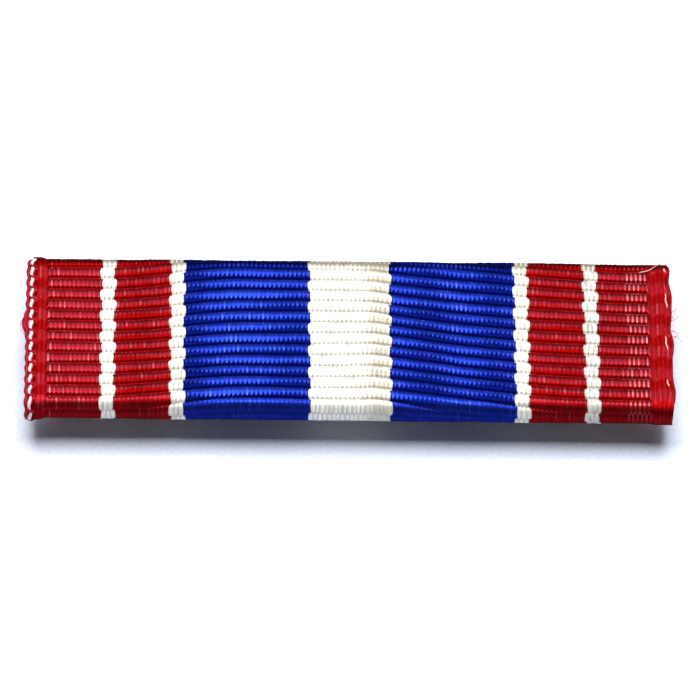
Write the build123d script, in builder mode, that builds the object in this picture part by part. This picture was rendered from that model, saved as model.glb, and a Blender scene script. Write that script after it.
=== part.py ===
from build123d import *
import os

# One service ribbon bar: a ribbon-covered slide on a flat holder with a brooch pin on its back.
# It lies on its back. +X runs along the bar, +Z is the way the ribbon faces, and z = 0 is the
# lowest point of the brooch fastening. Millimetres.

os.makedirs("parts", exist_ok=True)

# ---- ribbon and the slide that it covers
ribbon_width = 34.9  # 1 3/8 in, along X
bar_height = 10.0  # along Y, over both rolled edges
overall_height = 3.7  # along Z, from the fastening to the ribbon's face
ribbon_thickness = 0.33
glue_line = 0.02  # between the ribbon and the metal
thread_width = 0.18  # white catch thread along the left selvedge
slide_length = 34.3
slide_sheet = 0.3
slide_thickness = 1.1  # over both folded layers
slide_lip_edge = 2.55  # from the centre line to a lip's inner edge
ribbon_cut_edge = 2.75  # from the centre line to the ribbon's glued end

# ---- holder bar
holder_length = 33.8
holder_sheet = 0.4
running_gap = 0.05  # all round the holder in the slide's channel
holder_corner = 0.8
edge_round = 0.08  # tumbled edges of the metal pieces

# ---- brooch fastening
pin_height = 1.1  # of the pin's axis, and the radius of the hinge ears
solder_foot = 0.3
foot_length = 4.4
foot_width = 3.8
foot_corner = 0.5
hinge_x = -13.2
hinge_foot_shift = -0.6  # the foot reaches further behind the ears than in front of them
ear_thickness = 0.4
ear_spread = 0.4  # from the centre line to an ear's inner face
rivet_radius = 0.35
rivet_gap = 0.01
rivet_head_radius = 0.62
rivet_head_height = 0.26
eye_radius = 0.75
eye_bore = 0.4
eye_thickness = 0.7
neck_height = 1.0
neck_end = hinge_x + 1.9  # where the flattened wire turns round
stem_radius = 0.4
stem_start = neck_end - 0.15
taper_start = 9.6
pin_tip = 14.3
tip_radius = 0.06
catch_x = 12.2
barrel_length = 1.8
barrel_radius = 1.15
barrel_bore = 0.88
barrel_neck = 1.1
barrel_mouth = 1.04
sleeve_radius = 0.83
sleeve_bore = 0.55
sleeve_mouth = 0.96
collar_radius = 1.05
collar_thickness = 0.28
collar_gap = 0.08
thumb_reach = 2.2
thumb_width = 0.8
thumb_bead = 0.24

# ---- worked-out sizes
ribbon_shell = ribbon_thickness + glue_line
unit_thickness = slide_thickness + 2 * ribbon_shell
middle_z = overall_height - unit_thickness / 2  # middle of the slide's channel
slide_height = bar_height - 2 * ribbon_shell
channel_height = slide_thickness - 2 * slide_sheet
fold_centre = (slide_height - slide_thickness) / 2
holder_height = 2 * fold_centre + running_gap
holder_back = middle_z - holder_sheet / 2
foot_back = holder_back - solder_foot
catch_start = catch_x - barrel_length / 2
sleeve_start = catch_start - collar_gap - collar_thickness
sleeve_length = barrel_length + 2 * (collar_gap + collar_thickness)
fabric_left = -ribbon_width / 2 + thread_width + glue_line


def save(part, label):
    """Label one finished piece and write its STEP file."""
    part.label = label
    export_step(part, f"parts/{label}.step")


def open_tube(width, thickness, skin, gap_edge):
    """The section of a flat tube with round edges, open at the back between its two lips."""
    with BuildSketch() as section:
        with Locations((0, middle_z)):
            SlotOverall(width, thickness)
            SlotOverall(width - 2 * skin, thickness - 2 * skin, mode=Mode.SUBTRACT)
        with Locations((0, middle_z - thickness / 2)):
            Rectangle(2 * gap_edge, thickness, mode=Mode.SUBTRACT)
    return section.sketch


ribbon_section = open_tube(bar_height, unit_thickness, ribbon_thickness, ribbon_cut_edge)
slide_section = open_tube(slide_height, slide_thickness, slide_sheet, slide_lip_edge)

# ---- ribbon: woven cloth round the slide's front, both edges and the backs of its lips
with BuildPart() as ribbon:
    with BuildSketch(Plane.YZ.offset(fabric_left)):
        add(ribbon_section)
    extrude(amount=ribbon_width / 2 - fabric_left)
save(ribbon.part, "ribbon")

# ---- catch thread: the white yarn that locks the weft loops along the left selvedge
with BuildPart() as selvedge_thread:
    with BuildSketch(Plane.YZ.offset(-ribbon_width / 2)):
        add(ribbon_section)
    extrude(amount=thread_width)
save(selvedge_thread.part, "selvedge_thread")

# ---- slide: brass sheet with both long edges folded back into channels
with BuildPart() as ribbon_slide:
    with BuildSketch(Plane.YZ.offset(-slide_length / 2)):
        add(slide_section)
    extrude(amount=slide_length)
save(ribbon_slide.part, "ribbon_slide")

# ---- holder bar: flat brass strip that runs in the slide's channels
with BuildPart() as holder_bar:
    with BuildSketch(Plane.XY.offset(holder_back)) as strip:
        RectangleRounded(holder_length, holder_height, holder_corner)
    extrude(amount=holder_sheet)
    fillet(holder_bar.faces().filter_by(Axis.Z).edges(), radius=edge_round)
save(holder_bar.part, "holder_bar")

# ---- hinge bracket: a foot soldered to the holder's back, and two ears
with BuildPart() as hinge_bracket:
    with BuildSketch(Plane.XY.offset(foot_back)) as hinge_foot:
        with Locations((hinge_x + hinge_foot_shift, 0)):
            RectangleRounded(foot_length, foot_width, foot_corner)
    extrude(amount=solder_foot)
    fillet(hinge_bracket.faces().sort_by(Axis.Z)[0].edges(), radius=edge_round)
    for inner_face in (ear_spread, -ear_spread - ear_thickness):
        with BuildSketch(Plane.XZ.offset(-inner_face)) as ear:
            with Locations((hinge_x, pin_height)):
                Circle(pin_height)
            with Locations((hinge_x, (pin_height + foot_back) / 2)):
                Rectangle(2 * pin_height, foot_back - pin_height)
            with Locations((hinge_x, pin_height)):
                Circle(rivet_radius + rivet_gap, mode=Mode.SUBTRACT)
        extrude(amount=-ear_thickness)
    round_ends = hinge_bracket.edges().filter_by(GeomType.CIRCLE)
    fillet(round_ends.filter_by(lambda e: abs(e.radius - pin_height) < 0.01), radius=edge_round)
save(hinge_bracket.part, "hinge_bracket")

# ---- hinge rivet: headed at both ends, through both ears and the pin's eye
with BuildPart() as hinge_rivet:
    rivet_half = ear_spread + ear_thickness + rivet_gap
    with BuildSketch(Plane.XZ) as rivet_shank:
        with Locations((hinge_x, pin_height)):
            Circle(rivet_radius)
    extrude(amount=rivet_half, both=True)
    for side in (1, -1):
        with BuildSketch(Plane.XZ.offset(side * rivet_half)) as rivet_head:
            with Locations((hinge_x, pin_height)):
                Circle(rivet_head_radius)
        extrude(amount=side * rivet_head_height)
    end_faces = hinge_rivet.faces().filter_by(Axis.Y).group_by(Axis.Y)
    fillet((end_faces[0] + end_faces[-1]).edges(), radius=rivet_head_height * 0.8)
save(hinge_rivet.part, "hinge_rivet")

# ---- pin stem: sharpened wire with a flattened eye that turns on the rivet
with BuildPart() as pin_stem:
    with BuildSketch(Plane.XZ) as shank:
        with BuildLine() as outline:
            start_edge = Line((stem_start, pin_height), (stem_start, pin_height + stem_radius))
            wire = Line(start_edge @ 1, (taper_start, pin_height + stem_radius))
            point = TangentArc(wire @ 1, (pin_tip, pin_height + tip_radius), tangent=wire % 1)
            Line(point @ 1, (pin_tip, pin_height))
            Line((pin_tip, pin_height), (stem_start, pin_height))
        make_face()
    revolve(axis=Axis((0, 0, pin_height), (1, 0, 0)))
    with BuildSketch(Plane.XZ) as eye:
        with Locations(((hinge_x + neck_end) / 2, pin_height)):
            SlotOverall(neck_end - hinge_x, neck_height)
        with Locations((hinge_x, pin_height)):
            Circle(eye_radius)
            Circle(eye_bore, mode=Mode.SUBTRACT)
    extrude(amount=eye_thickness / 2, both=True)
save(pin_stem.part, "pin_stem")

# ---- catch base: a foot soldered to the holder's back, and a barrel with a mouth for the pin
with BuildPart() as catch_base:
    with BuildSketch(Plane.XY.offset(foot_back)) as catch_foot:
        with Locations((catch_x, 0)):
            RectangleRounded(foot_length, foot_width, foot_corner)
    extrude(amount=solder_foot)
    fillet(catch_base.faces().sort_by(Axis.Z)[0].edges(), radius=edge_round)
    with BuildSketch(Plane.YZ.offset(catch_start)) as barrel:
        with Locations((0, (pin_height + foot_back) / 2)):
            Rectangle(barrel_neck, foot_back - pin_height)
        with Locations((0, pin_height)):
            Circle(barrel_radius)
            Circle(barrel_bore, mode=Mode.SUBTRACT)
        with Locations((0, pin_height - barrel_radius)):
            Rectangle(barrel_mouth, 2 * barrel_radius, mode=Mode.SUBTRACT)
    extrude(amount=barrel_length)
    barrel_ends = catch_base.edges().filter_by(GeomType.CIRCLE)
    fillet(barrel_ends.filter_by(lambda e: abs(e.radius - barrel_radius) < 0.01), radius=edge_round)
save(catch_base.part, "catch_base")

# ---- catch sleeve: turns in the barrel and carries its mouth round to shut the pin in
with BuildPart() as catch_sleeve:
    with BuildSketch(Plane.YZ.offset(sleeve_start)) as tube:
        with Locations((0, pin_height)):
            Circle(sleeve_radius)
    extrude(amount=sleeve_length)
    for collar_start in (sleeve_start, sleeve_start + sleeve_length - collar_thickness):
        with BuildSketch(Plane.YZ.offset(collar_start)) as collar:
            with Locations((0, pin_height)):
                Circle(collar_radius)
        extrude(amount=collar_thickness)
    thumb_start = sleeve_start + sleeve_length - collar_thickness
    with BuildSketch(Plane.YZ.offset(thumb_start)) as thumb:
        with Locations(((thumb_reach - thumb_bead) / 2, pin_height)):
            Rectangle(thumb_reach - thumb_bead, thumb_width)
    extrude(amount=collar_thickness)
    with BuildSketch(Plane.XY.offset(pin_height - thumb_width / 2)) as bead:
        with Locations((thumb_start + collar_thickness / 2, thumb_reach - thumb_bead)):
            Circle(thumb_bead)
    extrude(amount=thumb_width)
    with BuildSketch(Plane.YZ.offset(sleeve_start)) as bore:
        with Locations((0, pin_height)):
            Circle(sleeve_bore)
        with Locations((0, pin_height - collar_radius)):
            Rectangle(sleeve_mouth, 2 * collar_radius)
    extrude(amount=sleeve_length, mode=Mode.SUBTRACT)
save(catch_sleeve.part, "catch_sleeve")
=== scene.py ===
import math

import bpy
import numpy as np
from mathutils import Matrix, Vector


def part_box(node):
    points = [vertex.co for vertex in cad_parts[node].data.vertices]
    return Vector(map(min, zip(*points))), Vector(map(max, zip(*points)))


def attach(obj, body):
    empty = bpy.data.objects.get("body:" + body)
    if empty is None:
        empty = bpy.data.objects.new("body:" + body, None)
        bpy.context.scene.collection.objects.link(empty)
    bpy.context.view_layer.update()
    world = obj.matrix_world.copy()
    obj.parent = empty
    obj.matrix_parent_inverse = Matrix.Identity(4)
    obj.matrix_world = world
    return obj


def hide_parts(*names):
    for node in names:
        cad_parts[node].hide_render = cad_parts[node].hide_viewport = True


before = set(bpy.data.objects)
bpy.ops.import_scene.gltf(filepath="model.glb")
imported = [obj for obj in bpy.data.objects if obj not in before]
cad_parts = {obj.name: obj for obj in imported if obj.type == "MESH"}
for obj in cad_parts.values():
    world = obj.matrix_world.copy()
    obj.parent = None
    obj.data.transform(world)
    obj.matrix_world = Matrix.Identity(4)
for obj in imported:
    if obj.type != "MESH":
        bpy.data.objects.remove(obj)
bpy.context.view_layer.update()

MM = 0.001
rng = np.random.default_rng(7)

# ---- sizes read from the frame, in millimetres
ribbon_low, ribbon_high = (np.array(corner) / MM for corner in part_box("ribbon"))
ROLL_OUTER = (ribbon_high[2] - ribbon_low[2]) / 2
MIDDLE_Z = (ribbon_high[2] + ribbon_low[2]) / 2
FACE_HALF = ribbon_high[1] - ROLL_OUTER
LEFT_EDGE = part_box("selvedge_thread")[0][0] / MM
RIGHT_EDGE = ribbon_high[0]

# ---- the weave
CLOTH = 0.33  # thickness of the ribbon
ROLL_MIDDLE = ROLL_OUTER - CLOTH / 2
ROLL_END = FACE_HALF + math.pi * ROLL_MIDDLE  # where a roll turns into a lip, along the cloth
LIP = 1.35  # width of each glued lip
CLOTH_HALF = ROLL_END + LIP
RIB = 0.69  # pitch of the weft cords
RIB_SHIFT = 0.23  # centre of the rib nearest the middle, along the cloth
FLOAT = 0.2435  # pitch of the warp floats in one rib
STEPS_ACROSS = 6  # mesh columns in one float
INNER_STEP = 8  # woven mesh columns to one of the plain inner side
STEPS_ALONG = 12  # mesh rows in one rib
RIB_RISE = 0.30  # from a float's ends to its crown
RIB_REACH = 0.58  # how far a float reaches from its rib's centre, in pitches
STRIPE_CENTRE = 0.05
# each stripe's outer edge, from the centre; beyond the last one the ribbon is red
STRIPES = ((2.22, "white"), (8.91, "blue"), (9.64, "white"), (12.62, "red"), (13.35, "white"))
DYES = {"red": 0.0, "white": 1.0, "blue": 2.0}
LEAN = 0.015  # sideways lean of the warps
SELVEDGE = 0.36  # width taken up by the catch thread and its wraps
CLOTH_LEFT = LEFT_EDGE + SELVEDGE
LEFT_BAND, RIGHT_BAND = -16.28, 16.18  # from here outward the ribs stop and the warps lie flat

# one number for each float, by rib and by place across the ribbon, both counted round in a circle
RIBS_DRAWN, FLOATS_DRAWN = 64, 512
BORDER_DRAW, WAVE_DRAW, BAND_DRAW = 5, 6, 11  # columns and row of float_noise that serve a whole rib or band
float_noise = rng.normal(0, 1, (RIBS_DRAWN, FLOATS_DRAWN)).clip(-2, 2)
float_luck = rng.random((RIBS_DRAWN, FLOATS_DRAWN))
# seven long waves that push the weave along the cloth: radians per mm across and along, phase, push in mm
wander_waves = rng.uniform((0.2, 0.1, 0, 0.006), (1.1, 0.9, 6.28, 0.030), (7, 4))


# ---- curves, and how the cloth bows, wanders and wraps
def smooth(t):
    """0 below 0, 1 above 1, and smooth between."""
    t = np.clip(t, 0, 1)
    return t * t * (3 - 2 * t)


def hump(x, centre, width):
    """1 at the centre, falling away over the width."""
    return np.exp(-(((x - centre) / width) ** 2))


def drawn(table, rib, float_index):
    """Each float's own number from one of the drawn tables."""
    return table[rib % RIBS_DRAWN, float_index % FLOATS_DRAWN]


def weft_bow(x):
    """How far a weft cord at x hangs towards the lower edge."""
    left_start, left_run, left_drop = -5.5, 7.8, 0.65
    right_start, right_run, right_drop = 1.4, 14.1, 1.29
    left = left_drop * smooth((left_start - x) / left_run)
    right = right_drop * np.sin(np.clip((x - right_start) / right_run, 0, 1) * math.pi / 2)
    return -(left + right)


def wander(x, along):
    """The small unevenness of a hand-stretched weave."""
    return sum(size * np.sin(fx * x + fv * along + phase) for fx, fv, phase, size in wander_waves)


def wrapped(v, rise):
    """Y and Z of the cloth at v along it from the middle of the face, rise above its middle layer."""
    side, far = np.sign(v), np.abs(v)
    turn = np.clip((far - FACE_HALF) / ROLL_MIDDLE, 0, math.pi)
    beyond = np.clip(far - ROLL_END, 0, None)
    radius = ROLL_MIDDLE + rise
    y = np.minimum(far, FACE_HALF) + radius * np.sin(turn) - beyond
    z = MIDDLE_Z + radius * np.cos(turn)
    return side * y, z


# ---- what the weave looks like at a point: its relief, its shade and its dye
def weave(x, along):
    """Each point's rise, rib, float, place along the float (about -0.5 to 0.5) and across it (-1 to 1).

    The floats of neighbouring ribs overlap in the groove between them, and the higher one shows.
    """
    place = (along - RIB_SHIFT) / RIB
    nearest = np.round(place).astype(int)
    best = [np.full(x.shape, -9.0)] + [np.zeros(x.shape) for _ in range(4)]
    for rib in (nearest - 1, nearest, nearest + 1):
        across = x / FLOAT + 0.5 * (rib % 2)
        float_index = np.floor(across).astype(int)
        off = 2 * (across - float_index) - 1
        reach = np.clip(np.abs(place - rib) / RIB_REACH, 0, 1)
        narrowing = 0.006 + 0.15 * reach**3  # flat across on the crown, rounder towards both ends
        rise = RIB_RISE * (np.sqrt(1 - reach**3) - 1) - narrowing * off**2
        rise = rise + 0.006 * drawn(float_noise, rib, float_index)
        rise = np.where(reach >= 1, -8.0, rise)
        higher = rise > best[0]
        found = (rise, rib, float_index, place - rib, off)
        best = [np.where(higher, new, old) for new, old in zip(found, best)]
    return best[0], best[1].astype(int), best[2].astype(int), best[3], best[4]


def warp_place(rib, float_index):
    """X of a float's middle: every other rib is shifted by half a float."""
    return (float_index + 0.5 - 0.5 * (rib % 2)) * FLOAT


def flat_band(x):
    """1 on the two smooth bands beside the selvedges."""
    return np.maximum(smooth((LEFT_BAND - x) / 0.1 + 0.5), smooth((x - RIGHT_BAND) / 0.1 + 0.5))


# where the cloth is slack and more of each rib lies in its own shade: x, width and share of the rib
SLACK_PLACES = (
    (-11.6, 1.3, 0.16), (-8.6, 0.9, 0.27), (-3.0, 1.3, 0.13), (1.7, 0.9, 0.08), (4.2, 1.2, 0.23),
    (7.9, 1.0, 0.20), (9.2, 0.4, 0.12), (12.0, 3.0, 0.11), (13.0, 0.4, 0.12),
)


def dark_share(x):
    """How much of each rib lies in its own shade: most where the cords slant or the cloth is slack."""
    anywhere = 0.20
    inside_outer_stripes = 0.10 * (np.abs(x) < 13)
    on_blue_and_centre = 0.07 * (np.abs(x) < 9)
    slack = sum(share * hump(x, place, width) for place, width, share in SLACK_PLACES)
    return anywhere + inside_outer_stripes + on_blue_and_centre + slack


def rib_shade(x, v, rib, down, off, dye):
    """0 on a rib's lit crown, 1 on its lower slope, with a ragged border where each float turns over."""
    red, white, blue = (dye == DYES[name] for name in ("red", "white", "blue"))
    on_top = smooth((v - FACE_HALF + 0.05) / 0.4)
    on_low = smooth((-v - FACE_HALF - 0.05) / 0.6)

    # the border: ragged float by float, slanted on the inner stripes, and a little different in each rib
    slant = 0.55 * (np.abs(x) < 9.7)
    tooth = np.cos(math.pi * (off + 2 * slant * (down - 0.2)))
    ragged = np.where(red, 0.05, 0.13)
    border_noise, wave_phase = drawn(float_noise, rib, BORDER_DRAW), 3 * drawn(float_noise, rib, WAVE_DRAW)
    uneven = 0.04 * border_noise + 0.05 * np.sin(0.8 * x + wave_phase) - 0.07 * white
    start = 0.5 - dark_share(x) - 0.8 * (on_top + on_low) + ragged * tooth + uneven
    # painted shade: from this border down each rib's lower slope
    shade = smooth((down - start) / 0.12 + 0.5)
    # painted shade in the groove above each rib
    upper_groove_shade = 0.8 * smooth((-down - 0.43) / 0.05)
    shade = np.maximum(shade, upper_groove_shade)

    # the rolls get painted shade: on the top one each float keeps a small painted highlight in deeper
    # painted shade, the low one is evenly dim
    top_roll_deep_shade = 0.32 * red + 0.10 * blue
    lit_dot = on_top * smooth((0.55 - np.abs(off)) / 0.3) * hump(down, 0.22, 0.16)
    shade = shade * (1 - 0.9 * lit_dot) * (1 - 0.30 * on_low) + on_top * (1 - lit_dot) * top_roll_deep_shade

    # white lets light through, so its slopes are shaded only in part, and most between its floats
    between = smooth((np.abs(off) - 0.45) / 0.35)
    right_half_of_centre = smooth((x - 0.3) / 1.3) * (x < 3)
    fill = 0.20 + 0.15 * (x > 8) + 0.60 * right_half_of_centre + 0.20 * hump(x, -9.3, 0.6)
    in_groove = 0.55 * smooth((np.abs(down) - 0.38) / 0.07)
    fill = np.maximum(fill, in_groove)
    fill = fill + (0.95 - fill) * on_top
    return np.where(white, shade * (fill + 0.6 * (1 - fill) * between), shade)


def band_shade(x, along):
    """Painted shade of the smooth bands: two-rib checks, each made of a few long streaks, deeper in the gaps
    between warps.
    """
    warp = x / FLOAT
    ragged = 0.05 * drawn(float_noise, BAND_DRAW, np.floor(warp).astype(int))
    from_check = np.abs((along - RIB_SHIFT) / (2 * RIB) % 1 + ragged - 0.5)
    gap = 0.5 + 0.5 * np.cos(2 * math.pi * warp)
    checks = smooth((0.32 - from_check) / 0.16) * (0.20 + 0.40 * gap) + 0.10 * gap + 0.50
    # painted shade in the notches beside the catch thread, one in each rib, deeper than the rest
    beat = np.cos(2 * math.pi * (along - RIB_SHIFT) / RIB)
    notch_shade = hump(x, CLOTH_LEFT + 0.16, 0.09) * smooth(0.9 * beat + 0.6)
    return np.maximum(checks, 1.6 * notch_shade)


def stripe_dye(x):
    """Which dye a warp at x has."""
    from_centre = np.abs(x - STRIPE_CENTRE)
    dye = np.full(x.shape, DYES["red"])
    for edge, name in reversed(STRIPES):
        dye = np.where(from_centre < edge, DYES[name], dye)
    return dye


# ---- meshes
def mesh_object(name, points, faces):
    """A mesh object from points in millimetres."""
    mesh = bpy.data.meshes.new(name)
    mesh.from_pydata((np.asarray(points) * MM).tolist(), [], faces)
    mesh.update()
    made = bpy.data.objects.new(name, mesh)
    bpy.context.scene.collection.objects.link(made)
    mesh.shade_smooth()
    return made


def mesh_values(mesh, name, values, domain):
    """A number for each face or point, for the material to read."""
    attribute = mesh.attributes.new(name, "FLOAT", domain)
    attribute.data.foreach_set("value", np.asarray(values, np.float32).ravel())


# ---- ribbon
def cloth_place(x, along, rise):
    """Where a point of the cloth ends up once it is bowed, wrapped and swollen at its ends."""
    bow_fades_from, furthest = 5.6, CLOTH_HALF + 0.5  # the bow fades towards the lips, which are glued
    hold = 1 - 0.65 * smooth((np.abs(along) - bow_fades_from) / (CLOTH_HALF - bow_fades_from))
    v = np.clip(along + weft_bow(x) * hold, -furthest, furthest)
    on_roll = smooth((np.abs(v) - FACE_HALF) / 0.8)
    swell = 0.10 * smooth((-16.3 - x) / 0.4) + 0.08 * smooth((x - 16.0) / 0.5) * (v < 0)
    # the right edge waves, and both its corners are pulled in
    edge_wave = 0.055 * np.sin(2.2 * along + 0.4) + 0.025 * np.sin(3.9 * along - 1.4)
    upper_corner = 0.26 * smooth((x - 16.5) / 0.9) * smooth((v - FACE_HALF + 0.1) / 0.9)
    lower_corner = 0.10 * smooth((x - 16.9) / 0.5) * smooth((-v - FACE_HALF - 0.5) / 0.8)
    corner = upper_corner + lower_corner
    drawn_left = 0.06 * hump(x, -11.0, 3.5)
    lean = LEAN * np.clip(v, -5, 5)
    x = x + edge_wave * smooth((x - 16.4) / 0.9) - corner - drawn_left - lean
    y, z = wrapped(v, CLOTH / 2 - 0.01 + rise + swell * on_roll)
    return np.stack([x, y, z], axis=-1)


def white_spread(x, up):
    """How far the plump white floats push their stripe's edges out on the crown of a rib."""
    from_centre = x - STRIPE_CENTRE
    push = 0
    for edge, name in STRIPES:
        outward = 1 if name == "white" else -1
        push = push + outward * hump(np.abs(from_centre), edge, 0.17)
    return 0.032 * np.sign(from_centre) * push * (1 - (2.8 * up) ** 2)


def painted_float_glints(x, rib, float_index, off):
    """Painted highlights on floats that catch the light: the outermost ones of each side, and a few
    anywhere.
    """
    luck = drawn(float_luck, rib, float_index)
    left = (x > LEFT_BAND) & (x < LEFT_BAND + FLOAT) & (luck < 0.7)
    right = (x < RIGHT_BAND) & (x > RIGHT_BAND - 5 * FLOAT) & (luck < 0.9)
    chance = 0.16 + 0.10 * hump(x, -6.3, 1.2) + 0.10 * hump(x, 6.0, 0.8)
    anywhere = np.where(luck < chance, 0.10 + 1.9 * luck, 0.10 * luck)
    painted_glint = np.where(left | right, 0.40 + 0.6 * luck, anywhere)
    return painted_glint * smooth((0.55 - np.abs(off)) / 0.4)


def float_tone(x, along, rib, float_index):
    """Each float a little lighter or darker than its dye, whole stretches of the ribbon deeper, and painted
    shade on the top roll.
    """
    right_end, left_end = 3.8 * smooth((x - 9) / 2), 1.0 * smooth((-12.8 - x) / 0.5)
    left_inner_red = 4.5 * hump(x, -11.1, 1.2)
    top_roll_shade = 3.0 * smooth((along + weft_bow(x) - FACE_HALF) / 0.5)
    deeper = right_end + left_inner_red + left_end + top_roll_shade
    right_band_only = -1.6 * (x > 0)
    return np.where(flat_band(x) > 0.5, right_band_only, drawn(float_noise, rib, float_index) - deeper)


def grid_faces(index):
    """One quad between every four neighbours of a grid of point numbers."""
    corners = [index[:-1, :-1], index[1:, :-1], index[1:, 1:], index[:-1, 1:]]
    return np.stack(corners, axis=-1).reshape(-1, 4)


def cloth_faces(wide, narrow, rows):
    """The faces of the woven side, the inner side and the rim, and how many of them are woven."""
    outer = np.arange(wide * (rows + 1)).reshape(wide, rows + 1)
    inner = wide * (rows + 1) + np.arange(narrow * (rows + 1)).reshape(narrow, rows + 1)
    faces = grid_faces(outer).tolist()
    woven = len(faces)
    faces += grid_faces(inner)[:, ::-1].tolist()
    for j in range(rows):
        faces.append([outer[0, j], outer[0, j + 1], inner[0, j + 1], inner[0, j]])
        faces.append([outer[-1, j + 1], outer[-1, j], inner[-1, j], inner[-1, j + 1]])
    for i in range(narrow - 1):
        span = list(range(INNER_STEP * i, INNER_STEP * (i + 1) + 1))
        faces.append([inner[i, 0], inner[i + 1, 0]] + [outer[k, 0] for k in reversed(span)])
        faces.append([inner[i + 1, rows], inner[i, rows]] + [outer[k, rows] for k in span])
    return [[int(i) for i in face] for face in faces], woven


def make_ribbon():
    """The whole cloth: a woven outer layer and a plain inner one, closed round the rim."""
    columns = int((RIGHT_EDGE - CLOTH_LEFT) / FLOAT * STEPS_ACROSS / INNER_STEP) * INNER_STEP
    rows = int(2 * CLOTH_HALF / RIB * STEPS_ALONG)
    x_line = np.linspace(CLOTH_LEFT, RIGHT_EDGE, columns + 1)
    v_line = np.linspace(-CLOTH_HALF, CLOTH_HALF, rows + 1)
    x, straight = np.meshgrid(x_line, v_line, indexing="ij")
    along = straight + wander(x, straight)
    bowed = straight + weft_bow(x)

    rise, rib, float_index, up, off = weave(x, along)
    band = flat_band(x)
    checks = band_shade(x, along)
    dye = stripe_dye(warp_place(rib, float_index))
    shade = rib_shade(x, bowed, rib, -up, off, dye) * (1 - band) + band * checks
    rise = rise * (1 - band) + band * (-0.02 - 0.025 * checks)
    rise = rise * (1 - 0.35 * smooth((-bowed - FACE_HALF) / 0.5))  # stretched flatter over the lower roll
    outer = cloth_place(x + white_spread(x, up), straight, rise)

    x_inner, along_inner = np.meshgrid(x_line[::INNER_STEP], v_line, indexing="ij")
    inner = cloth_place(x_inner, along_inner, np.full(x_inner.shape, 0.015 - CLOTH))
    faces, woven = cloth_faces(len(x), len(x_inner), rows)
    points = np.concatenate([outer.reshape(-1, 3), inner.reshape(-1, 3)])
    cloth = mesh_object("ribbon_cloth", points, faces)

    # what each woven face is; the inner side and the rim are plain red
    x_mid = (x[:-1, :-1] + x[1:, 1:]) / 2
    along_mid = (along[:-1, :-1] + along[1:, 1:]) / 2
    _, rib_mid, float_mid, _, off_mid = weave(x_mid, along_mid)
    plain = np.zeros(len(faces) - woven)
    for name, values in (
        ("dye", stripe_dye(warp_place(rib_mid, float_mid))),
        ("tone", float_tone(x_mid, along_mid, rib_mid, float_mid)),
        ("painted_glint", painted_float_glints(x_mid, rib_mid, float_mid, off_mid)),
    ):
        mesh_values(cloth.data, name, np.concatenate([values.ravel(), plain]), "FACE")
    mesh_values(cloth.data, "shade", np.concatenate([shade.ravel(), np.zeros(x_inner.size)]), "POINT")
    # how the cloth lies, for the streaks: x, place along, and 1 on the inner side
    lay_outer = np.stack([x, along, np.zeros(x.shape)], axis=-1).reshape(-1, 3)
    lay_inner = np.stack([x_inner, along_inner, np.ones(x_inner.shape)], axis=-1).reshape(-1, 3)
    lay = cloth.data.attributes.new("lay", "FLOAT_VECTOR", "POINT")
    lay.data.foreach_set("vector", np.concatenate([lay_outer, lay_inner]).astype(np.float32).ravel())
    return cloth


# ---- edge threads
def strand(name, path, radius, sides=10):
    """A round strand along a path, thick or thin from point to point, closed at both ends."""
    path = np.asarray(path, float)
    radius = np.broadcast_to(radius, len(path))
    ahead = np.gradient(path, axis=0)
    ahead /= np.linalg.norm(ahead, axis=1, keepdims=True)
    across = np.cross(ahead, (0.31, 0.17, 0.94))  # a direction that no strand here runs along
    across /= np.linalg.norm(across, axis=1, keepdims=True)
    up = np.cross(across, ahead)
    turn = np.linspace(0, 2 * math.pi, sides, endpoint=False)
    rings = path[:, None] + radius[:, None, None] * (
        across[:, None] * np.cos(turn)[None, :, None] + up[:, None] * np.sin(turn)[None, :, None]
    )
    points = np.concatenate([rings.reshape(-1, 3), path[:1], path[-1:]])
    last = (len(path) - 1) * sides
    faces = []
    for i in range(sides):
        j = (i + 1) % sides
        faces += [[k + i, k + j, k + sides + j, k + sides + i] for k in range(0, last, sides)]
        faces += [[len(points) - 2, j, i], [len(points) - 1, last + i, last + j]]
    return mesh_object(name, points, faces)


def joined(name, parts):
    """Several meshes made into one object."""
    with bpy.context.temp_override(active_object=parts[0], selected_editable_objects=parts):
        bpy.ops.object.join()
    parts[0].name = name
    return parts[0]


def on_cloth(x, v, rise):
    """A point above the cloth at v along it, without the bow of the cords."""
    y, z = wrapped(v, CLOTH / 2 + rise)
    return np.stack(np.broadcast_arrays(x, y, z), axis=-1)


def edge_path(x, along, rise):
    """A path along the left edge, drawn in where it turns over the top."""
    over = smooth((along + weft_bow(x) - FACE_HALF) / 0.9)
    return cloth_place(x + 0.24 * over, along, rise - 0.16 * over)


def along_edge(steps_per_rib):
    """Places along the cloth from one cut end to the other."""
    return np.arange(-CLOTH_HALF + 0.1, CLOTH_HALF - 0.1, RIB / steps_per_rib)


def make_catch_thread():
    """The white thread along the left edge: one plump float in each rib, drawn in between them."""
    along = along_edge(16)
    place = (along - RIB_SHIFT) / RIB
    plump = np.abs(np.cos(math.pi * place)) ** 0.9
    x = CLOTH_LEFT - 0.01 - 0.05 * plump + 0.04 * np.sin(2 * math.pi * place)
    thin, swelling = 0.03, 0.074
    path = edge_path(x, along, -0.05 + 0.02 * plump)
    return strand("catch_thread", path, thin + swelling * plump, sides=14)


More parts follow.
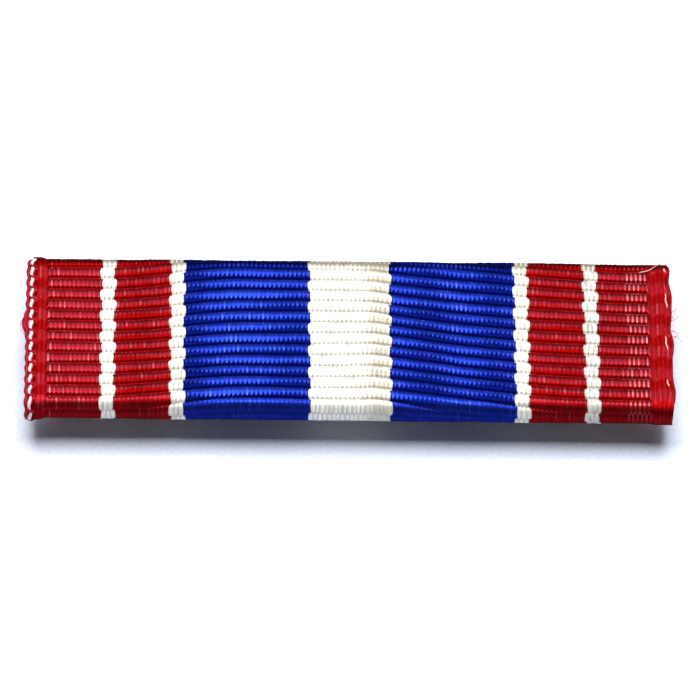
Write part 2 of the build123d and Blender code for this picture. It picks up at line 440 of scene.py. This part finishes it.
def make_edge_wraps():
    """The red weft turning round the catch thread: a cord outside it and a strand over it in each groove."""
    along = along_edge(12)
    beat = np.cos(2 * math.pi * (along - RIB_SHIFT) / RIB)
    pulled = 0.17 * hump(along, 1.10, 0.55)  # the cord gives way where the loose loop was pulled out
    outer_path = edge_path(LEFT_EDGE + 0.11 - 0.02 * beat - pulled, along, -0.10)
    fill_path = edge_path(LEFT_EDGE + 0.17 - 0.5 * pulled, along, -0.14)
    parts = [strand("outer_cord", outer_path, 0.105 + 0.012 * beat), strand("inner_fill", fill_path, 0.085)]
    first, last = math.ceil(-CLOTH_HALF / RIB) + 1, math.floor(CLOTH_HALF / RIB) - 1
    over = np.linspace(-0.15, 1.1, 12) * math.pi  # angle round the thread, from outside it to inside
    for rib in range(first, last):
        groove = RIB_SHIFT + (rib + 0.5) * RIB
        x = CLOTH_LEFT - 0.03 - 0.19 * np.cos(over)
        path = edge_path(x, groove + 0.07 * np.cos(over), -0.13 + 0.13 * np.sin(over))
        parts.append(strand("strand", path, 0.070))
    return joined("edge_wraps", parts)


def curve_through(points, count=24):
    """A smooth path through a few points."""
    points = np.asarray(points, float)
    t = np.linspace(0, len(points) - 1, count)
    step = np.clip(t.astype(int), 0, len(points) - 2)
    share = (t - step)[:, None]
    padded = np.concatenate([2 * points[:1] - points[1:2], points, 2 * points[-1:] - points[-2:-1]])
    p0, p1, p2, p3 = (padded[step + k] for k in range(4))
    return 0.5 * (
        2 * p1 + (p2 - p0) * share + (2 * p0 - 5 * p1 + 4 * p2 - p3) * share**2
        + (3 * p1 - p0 - 3 * p2 + p3) * share**3
    )


def make_loose_loop():
    """The pulled loop of weft half way up the left edge, with a finer strand outside it."""
    edge = LEFT_EDGE + 0.06
    # x, place along the cloth, rise above it
    loop = curve_through([
        (edge + 0.10, 1.25, 0), (edge - 0.12, 0.85, 0.04), (edge - 0.24, 0.40, 0.08),
        (edge - 0.18, 0.05, 0.05), (edge - 0.02, -0.30, 0.02), (edge + 0.10, -0.55, 0),
    ])
    wisp = loop + np.outer(np.sin(np.linspace(0, math.pi, len(loop))), (-0.09, -0.12, 0.05))
    parts = []
    for name, path, radius in (("loop", loop, 0.035), ("wisp", wisp, 0.012)):
        x, v, rise = path.T
        parts.append(strand(name, on_cloth(x, v, rise - 0.12), radius))
    return joined("loose_loop", parts)


def make_frayed_fibres():
    """Single fibres standing out of the right edge, some leaning up it and some down."""
    root_radius, tip_radius, rings = 0.020, 0.008, 14
    parts = []
    for start, lean in (
        (1.50, 0.30), (1.05, 0.75), (0.95, 0.30), (0.30, -0.50), (-0.25, 0.35), (-0.05, -0.45),
    ):
        root = np.array((RIGHT_EDGE - 0.05, start, -0.10))
        reach = rng.uniform(0.28, 0.58)
        middle = root + (0.5 * reach, 0.2 * lean, 0.10)
        tip = root + (reach, lean, rng.uniform(0.05, 0.25))
        path = on_cloth(*curve_through([root, middle, tip], rings).T)
        parts.append(strand("fibre", path, np.linspace(root_radius, tip_radius, rings), 6))
    return joined("frayed_fibres", parts)


def make_right_thread():
    """The few places where the right edge's pale thread shows between the reds."""
    parts = []
    for top, length, inset in (
        (4.30, 0.25, 0.42), (2.70, 0.95, 0.36), (-0.05, 0.90, 0.38), (-2.85, 0.45, 0.34),
    ):
        t = np.linspace(0, 1, 12)
        path = on_cloth(RIGHT_EDGE - inset + 0.10 * t + 0.02 * np.sin(9 * t), top - length * t, -0.045)
        parts.append(strand("glimpse", path, 0.012 + 0.034 * np.sin(math.pi * t) ** 0.5))
    return joined("right_thread", parts)


def make_stray_yarn():
    """The pale end of yarn that curls over the upper right corner."""
    path = curve_through([
        (RIGHT_EDGE - 1.75, 4.00, 0.00), (RIGHT_EDGE - 1.2, 4.12, 0.05), (RIGHT_EDGE - 0.8, 4.40, 0.06),
        (RIGHT_EDGE - 0.4, 4.66, 0.04), (RIGHT_EDGE - 0.08, 4.50, 0.03),
    ])
    return strand("stray_yarn", on_cloth(*path.T), 0.022)


# ---- solder
def make_solder(node):
    """The uneven bead of solder round a foot, in the corner between it and the bar, not quite closed."""
    low, high = (np.array(corner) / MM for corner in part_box(node))
    corner_radius, left_open = 0.5, 0.05
    centre, half = (low + high)[:2] / 2, (high - low)[:2] / 2 - corner_radius
    turn = np.linspace(left_open, 2 * math.pi - left_open, 121)
    out = np.stack([np.cos(turn), np.sin(turn)], axis=-1)
    outline = centre + half * np.clip(out * 3, -1, 1) + corner_radius * out
    path = np.column_stack([outline, np.full(len(turn), high[2])])
    phases = rng.uniform(0, 6.28, 4)
    waves = sum(np.sin(count * turn + phase) / count for count, phase in zip((3, 5, 8, 13), phases))
    return strand("solder_" + node, path, 0.15 + 0.035 * waves)


# ---- materials; colours are linear red, green and blue
class Nodes:
    """A short way to write a material's nodes. Most methods give back the socket with their result."""

    def __init__(self, name):
        self.material = bpy.data.materials.new(name)
        self.material.use_nodes = True
        self.tree = self.material.node_tree
        self.shader = self.tree.nodes["Principled BSDF"]

    def add(self, kind, **settings):
        """A new node of a kind, with its own settings."""
        node = self.tree.nodes.new("ShaderNode" + kind)
        for key, value in settings.items():
            setattr(node, key, value)
        return node

    def feed(self, socket, source):
        """Link a node's output into a socket, or set the socket's own value."""
        if isinstance(source, bpy.types.NodeSocket):
            self.tree.links.new(source, socket)
        else:
            socket.default_value = source

    def math(self, operation, first, second=0.0, third=0.0, clamp=False):
        """One step of arithmetic on up to three numbers or sockets."""
        node = self.add("Math", operation=operation, use_clamp=clamp)
        for socket, source in zip(node.inputs, (first, second, third)):
            self.feed(socket, source)
        return node.outputs[0]

    def mix(self, share, first, second, blend="MIX"):
        """Two colours put together, by share."""
        node = self.add("Mix", data_type="RGBA", blend_type=blend)
        colour_sockets = {0: share, 6: first, 7: second}
        for index, source in colour_sockets.items():
            self.feed(node.inputs[index], source)
        return node.outputs[2]

    def value(self, name):
        """One of the mesh's own numbers."""
        return self.add("Attribute", attribute_name=name).outputs["Fac"]

    def vector(self, name):
        """One of the mesh's own vectors."""
        return self.add("Attribute", attribute_name=name).outputs["Vector"]

    def scaled(self, vector, scale):
        """A vector stretched along each axis."""
        node = self.add("Mapping")
        self.feed(node.inputs["Vector"], vector)
        node.inputs["Scale"].default_value = scale
        return node.outputs[0]

    def noise(self, vector, scale, detail=3.0, roughness=0.55):
        """Soft patches, 0 to 1, scale of them to a unit of the vector."""
        node = self.add("TexNoise")
        self.feed(node.inputs["Vector"], vector)
        node.inputs["Scale"].default_value = scale
        node.inputs["Detail"].default_value = detail
        node.inputs["Roughness"].default_value = roughness
        return node.outputs["Fac"]

    def bump(self, height, strength, distance):
        """A normal that makes the height seen."""
        node = self.add("Bump")
        node.inputs["Strength"].default_value = strength
        node.inputs["Distance"].default_value = distance
        self.feed(node.inputs["Height"], height)
        return node.outputs[0]

    def set(self, **values):
        """Feed the shader's sockets, and give back the finished material."""
        for key, value in values.items():
            socket = key.replace("_", " ").title().replace("Ior", "IOR")
            self.feed(self.shader.inputs[socket], value)
        return self.material


def ribbon_material():
    """Dyed satin: the lit colour on the crowns of the ribs, painted highlights on glinting floats and a
    painted shaded colour down their slopes.

    The mesh says which dye a float has, how light it is, how much painted highlight it gets and how deep in
    painted shade it lies.
    A shade above 1 is painted deeper shade, darker still.
    """
    m = Nodes("ribbon_satin")
    dye = m.value("dye")
    to_white = m.math("MULTIPLY", dye, 1.0, clamp=True)
    to_blue = m.math("SUBTRACT", dye, 1.0, clamp=True)

    def by_dye(red, white, blue):
        return m.mix(to_blue, m.mix(to_white, red + (1,), white + (1,)), blue + (1,))

    lit = by_dye((0.212, 0.0082, 0.0154), (0.80, 0.79, 0.75), (0.0155, 0.040, 0.43))
    shade_colour = by_dye((0.178, 0.001, 0.001), (0.29, 0.255, 0.175), (0.001, 0.003, 0.065))
    highlight_colour = by_dye((0.54, 0.17, 0.19), (1.0, 1.0, 1.0), (0.10, 0.16, 0.76))
    lay = m.vector("lay")
    streaks = m.noise(m.scaled(lay, (16, 1.6, 1)), 1.0, detail=2.0)
    patches = m.noise(m.scaled(lay, (0.5, 0.8, 1)), 1.0)
    tone = m.math("MULTIPLY", m.value("tone"), 0.05)
    tone = m.math("ADD", tone, m.math("MULTIPLY_ADD", streaks, 1.3, 0.32))
    tone = m.math("ADD", tone, m.math("MULTIPLY_ADD", patches, 0.16, -0.08))
    shade = m.value("shade")
    # a shade above 1 darkens the tone further: painted deeper shade
    deep_shade = m.math("SUBTRACT", shade, 1.0, clamp=True)
    tone = m.math("MULTIPLY", tone, m.math("SUBTRACT", 1.0, deep_shade))
    level = m.add("CombineColor")
    for socket in level.inputs[:3]:
        m.feed(socket, tone)
    # painted highlights on glinting floats, then painted shade mixed in by the mesh's shade
    colour = m.mix(m.value("painted_glint"), lit, highlight_colour)
    colour = m.mix(m.math("MULTIPLY", shade, 1.0, clamp=True), colour, shade_colour)
    colour = m.mix(1.0, colour, level.outputs[0], "MULTIPLY")
    white_only = m.math("SUBTRACT", to_white, to_blue)
    dyed_sheen, white_sheen = 0.80, 0.30
    return m.set(
        base_color=colour,
        roughness=m.math("MULTIPLY_ADD", streaks, 0.18, 0.40),
        metallic=m.math("SUBTRACT", dyed_sheen, m.math("MULTIPLY", white_only, dyed_sheen - white_sheen)),
        specular_ior_level=0.05,
        specular_tint=colour,
        normal=m.bump(streaks, 0.35, 0.00002),
    )


def metal_material(name, clean, dull, rough, grain):
    """Rolled or plated metal with fine scratches along X, grain of them to a metre, and dull patches."""
    m = Nodes(name)
    place = m.add("TexCoord").outputs["Object"]
    scratch = m.noise(m.scaled(place, (300, grain, grain)), 1.0, detail=4.0)
    patch = m.noise(place, 420.0, detail=5.0, roughness=0.65)
    cover = m.math("MULTIPLY", m.math("SUBTRACT", patch, 0.45, clamp=True), 2.6, clamp=True)
    base_rough = m.math("MULTIPLY_ADD", cover, 0.16, rough - 0.11)
    return m.set(
        base_color=m.mix(cover, clean + (1,), dull + (1,)),
        metallic=1.0,
        roughness=m.math("ADD", m.math("MULTIPLY", scratch, 0.22), base_rough),
        normal=m.bump(scratch, 0.25, 0.00001),
    )


def solder_material():
    """Dull tin-grey metal with frosted patches and brown flux stains."""
    m = Nodes("solder")
    place = m.add("TexCoord").outputs["Object"]
    frost = m.noise(place, 2600.0, detail=4.0)
    stain = m.math("MULTIPLY", m.math("SUBTRACT", m.noise(place, 700.0), 0.52, clamp=True), 5.0, clamp=True)
    tin = m.mix(frost, (0.36, 0.37, 0.38, 1), (0.60, 0.61, 0.62, 1))
    return m.set(
        base_color=m.mix(stain, tin, (0.20, 0.13, 0.07, 1)),
        metallic=m.math("MULTIPLY_ADD", stain, -0.7, 1.0),
        roughness=m.math("MULTIPLY_ADD", frost, 0.4, 0.30),
        normal=m.bump(frost, 0.5, 0.00002),
    )


def yarn_material(name, lit, shade_colour):
    """Spun yarn: fine twisted streaks, with painted shade where they sink."""
    m = Nodes(name)
    place = m.add("TexCoord").outputs["Object"]
    streaks = m.noise(m.scaled(place, (26000, 9000, 9000)), 1.0)
    return m.set(
        base_color=m.mix(m.math("MULTIPLY_ADD", streaks, 1.6, -0.3, clamp=True), shade_colour + (1,), lit + (1,)),
        roughness=m.math("MULTIPLY_ADD", streaks, 0.2, 0.42),
        metallic=0.35,
        specular_ior_level=0.1,
        normal=m.bump(streaks, 0.4, 0.00001),
    )


def paint(node, material):
    """Give a CAD node's object a new material."""
    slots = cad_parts[node].data.materials
    slots.clear()
    slots.append(material)


# ---- the soft pieces on the slide
ribbon = make_ribbon()
ribbon.data.materials.append(ribbon_material())
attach(ribbon, "ribbon_unit")
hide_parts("ribbon")

catch_thread = make_catch_thread()
thread_white = yarn_material("thread_white", (0.90, 0.84, 0.83), (0.58, 0.42, 0.42))
catch_thread.data.materials.append(thread_white)
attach(catch_thread, "ribbon_unit")
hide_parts("selvedge_thread")

weft_red = yarn_material("weft_red", (0.50, 0.012, 0.035), (0.12, 0.001, 0.004))
fibre_pink = yarn_material("fibre_pink", (0.80, 0.18, 0.20), (0.45, 0.05, 0.06))
yarn_pale = yarn_material("yarn_pale", (0.92, 0.62, 0.52), (0.60, 0.24, 0.20))
for piece, material in (
    (make_edge_wraps(), weft_red),
    (make_loose_loop(), weft_red),
    (make_frayed_fibres(), fibre_pink),
    (make_right_thread(), yarn_pale),
    (make_stray_yarn(), yarn_pale),
):
    piece.data.materials.append(material)
    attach(piece, "ribbon_unit")

# ---- the metal
solder = solder_material()
for foot in ("hinge_bracket", "catch_base"):
    bead = make_solder(foot)
    bead.data.materials.append(solder)
    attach(bead, "holder")

rolled_grain, plated_grain = 9000, 6000
slide_brass = metal_material("slide_brass", (0.72, 0.50, 0.20), (0.42, 0.27, 0.10), 0.38, rolled_grain)
holder_brass = metal_material("holder_brass", (0.78, 0.56, 0.24), (0.50, 0.33, 0.13), 0.32, rolled_grain)
nickel_plate = metal_material("nickel_plate", (0.66, 0.64, 0.60), (0.42, 0.40, 0.36), 0.28, plated_grain)
sleeve_plate = metal_material("sleeve_plate", (0.68, 0.66, 0.62), (0.45, 0.42, 0.38), 0.24, plated_grain)
rivet_steel = metal_material("rivet_steel", (0.56, 0.56, 0.57), (0.36, 0.35, 0.34), 0.30, plated_grain)
pin_steel = metal_material("pin_steel", (0.58, 0.59, 0.61), (0.40, 0.40, 0.40), 0.22, rolled_grain)
for node, finish in (
    ("ribbon_slide", slide_brass),
    ("holder_bar", holder_brass),
    ("hinge_bracket", nickel_plate),
    ("catch_base", nickel_plate),
    ("catch_sleeve", sleeve_plate),
    ("hinge_rivet", rivet_steel),
    ("pin_stem", pin_steel),
):
    paint(node, finish)


# ---- floor, light and camera
def make_floor():
    """A plain pale table, faintly grained, that the bar's fastening rests on."""
    reach = 900
    corners = [(-reach, -reach, 0), (reach, -reach, 0), (reach, reach, 0), (-reach, reach, 0)]
    floor = mesh_object("floor", corners, [(0, 1, 2, 3)])
    m = Nodes("floor_white")
    place = m.add("TexCoord").outputs["Object"]
    grain = m.noise(place, 5200.0, detail=2.0, roughness=0.7)
    speckle = m.math("MULTIPLY_ADD", grain, 2.4, -0.7, clamp=True)
    floor.data.materials.append(m.set(
        base_color=m.mix(speckle, (0.68, 0.74, 0.88, 1), (0.80, 0.86, 0.98, 1)),
        roughness=0.7,
        specular_ior_level=0.2,
        normal=m.bump(m.noise(place, 900.0), 0.1, 0.00002),
    ))


def soft_light(name, elevation, distance, width, depth, power):
    """A rectangular light beyond the bar's upper edge, at an angle above the table, turned to the object."""
    data = bpy.data.lights.new(name, "AREA")
    data.shape = "RECTANGLE"
    data.size, data.size_y = width, depth
    data.energy = power
    light = bpy.data.objects.new(name, data)
    light.location = (0, distance * math.cos(elevation), distance * math.sin(elevation))
    light.rotation_euler = (elevation - math.pi / 2, 0, 0)
    bpy.context.scene.collection.objects.link(light)


def make_light():
    """A softbox nearly overhead, a broader light further back and lower, and a pale blue room."""
    soft_light("softbox", math.radians(86.5), distance=0.30, width=0.20, depth=0.145, power=1.3)
    soft_light("broad_light", math.radians(60), distance=0.45, width=0.42, depth=0.30, power=1.1)
    world = bpy.data.worlds.new("room")
    world.use_nodes = True
    room = world.node_tree.nodes["Background"].inputs
    room["Color"].default_value = (0.80, 0.90, 1.0, 1)
    room["Strength"].default_value = 0.13
    bpy.context.scene.world = world


def make_camera():
    """A long lens a forearm's length away, looking down at the face from the lower edge's side."""
    elevation, distance, roll = math.radians(57), 0.38, math.radians(0.56)
    seen_width, sensor_width = 0.0378, 36
    aim = Vector((0.00007, -0.0006, MIDDLE_Z * MM))  # the object isn't quite in the middle of the picture
    back = Vector((0, -math.cos(elevation), math.sin(elevation)))
    data = bpy.data.cameras.new("camera")
    data.sensor_width = sensor_width
    data.lens = sensor_width * distance / seen_width
    data.clip_start = 0.01
    camera = bpy.data.objects.new("camera", data)
    turn = Matrix.Rotation(math.pi / 2 - elevation, 4, "X") @ Matrix.Rotation(roll, 4, "Z")
    camera.matrix_world = Matrix.Translation(aim + back * distance) @ turn
    bpy.context.scene.collection.objects.link(camera)
    bpy.context.scene.camera = camera


make_floor()
make_light()
make_camera()
bpy.context.scene.view_settings.view_transform = "Standard"
